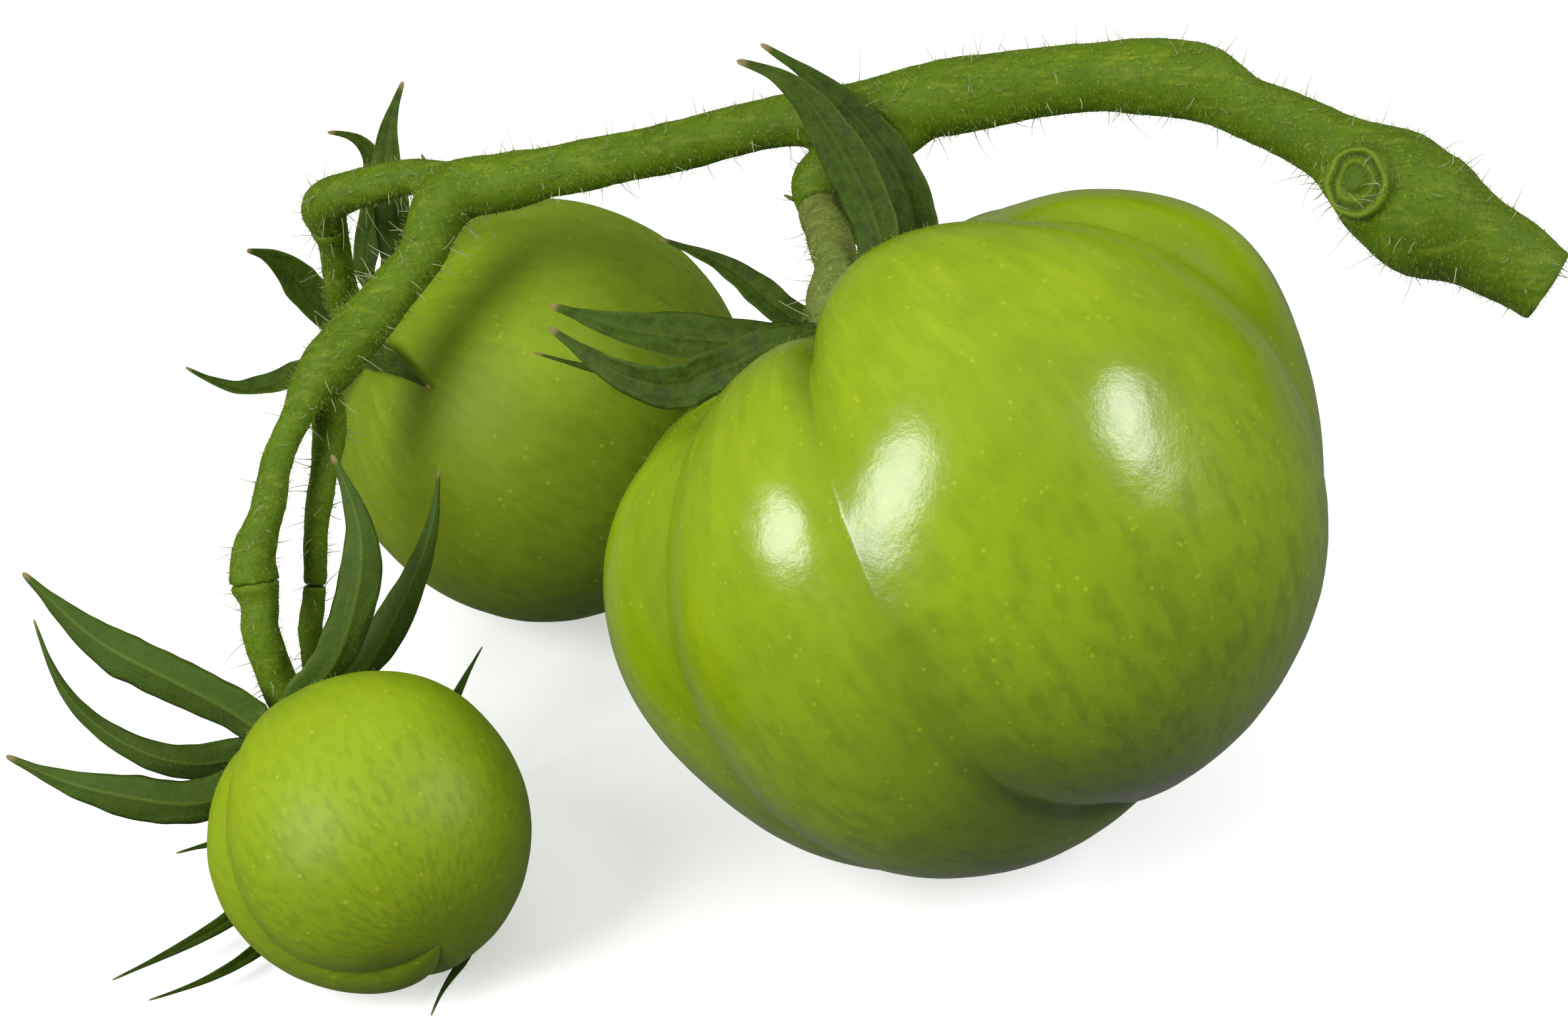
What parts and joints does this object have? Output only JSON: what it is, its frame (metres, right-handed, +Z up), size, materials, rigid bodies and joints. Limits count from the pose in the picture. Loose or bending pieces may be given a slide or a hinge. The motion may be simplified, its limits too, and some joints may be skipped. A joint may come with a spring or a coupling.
{
  "type": "tomato truss",
  "caption": "Cut truss of unripe green tomatoes of mixed sizes on a curved stalk with calyx leaves, lying down on the flat spot of its largest fruit.",
  "frame": {"origin": "middle of the flat spot under the largest fruit, on the surface that the truss rests on", "axes": "+Z up, +X along the truss from the smallest fruit towards the cut end of the stalk, -Y towards the side that shows the largest fruit's blossom end"},
  "size_m": [0.1662, 0.1022, 0.0779],
  "materials": {
    "bright_tomato_skin": "glossy unripe tomato skin, bright yellow-green",
    "dull_tomato_skin": "satin unripe tomato skin, duller green",
    "green_stalk": "matte green stalk with fine hairs",
    "calyx_leaf": "matte dark green leaf"
  },
  "bodies": {
    "root": {"large_calyx_leaf_1": "calyx_leaf", "large_calyx_leaf_2": "calyx_leaf", "large_calyx_leaf_3": "calyx_leaf", "large_calyx_leaf_4": "calyx_leaf", "large_calyx_leaf_5": "calyx_leaf", "large_calyx_leaf_6": "calyx_leaf", "large_calyx_leaf_7": "calyx_leaf", "large_pedicel": "green_stalk", "large_tomato": "bright_tomato_skin", "middle_calyx_leaf_1": "calyx_leaf", "middle_calyx_leaf_2": "calyx_leaf", "middle_calyx_leaf_3": "calyx_leaf", "middle_calyx_leaf_4": "calyx_leaf", "middle_calyx_leaf_5": "calyx_leaf", "middle_calyx_leaf_6": "calyx_leaf", "middle_pedicel": "green_stalk", "middle_tomato": "dull_tomato_skin", "small_calyx_leaf_1": "calyx_leaf", "small_calyx_leaf_2": "calyx_leaf", "small_calyx_leaf_3": "calyx_leaf", "small_calyx_leaf_4": "calyx_leaf", "small_calyx_leaf_5": "calyx_leaf", "small_pedicel": "green_stalk", "small_tomato": "bright_tomato_skin", "spent_flower_leaf_1": "calyx_leaf", "spent_flower_leaf_2": "calyx_leaf", "spent_flower_leaf_3": "calyx_leaf", "spent_flower_leaf_4": "calyx_leaf", "spent_flower_leaf_5": "calyx_leaf", "spent_flower_ovary": "bright_tomato_skin", "spent_flower_pedicel": "green_stalk", "truss_stem": "green_stalk"}
  },
  "joints": []
}
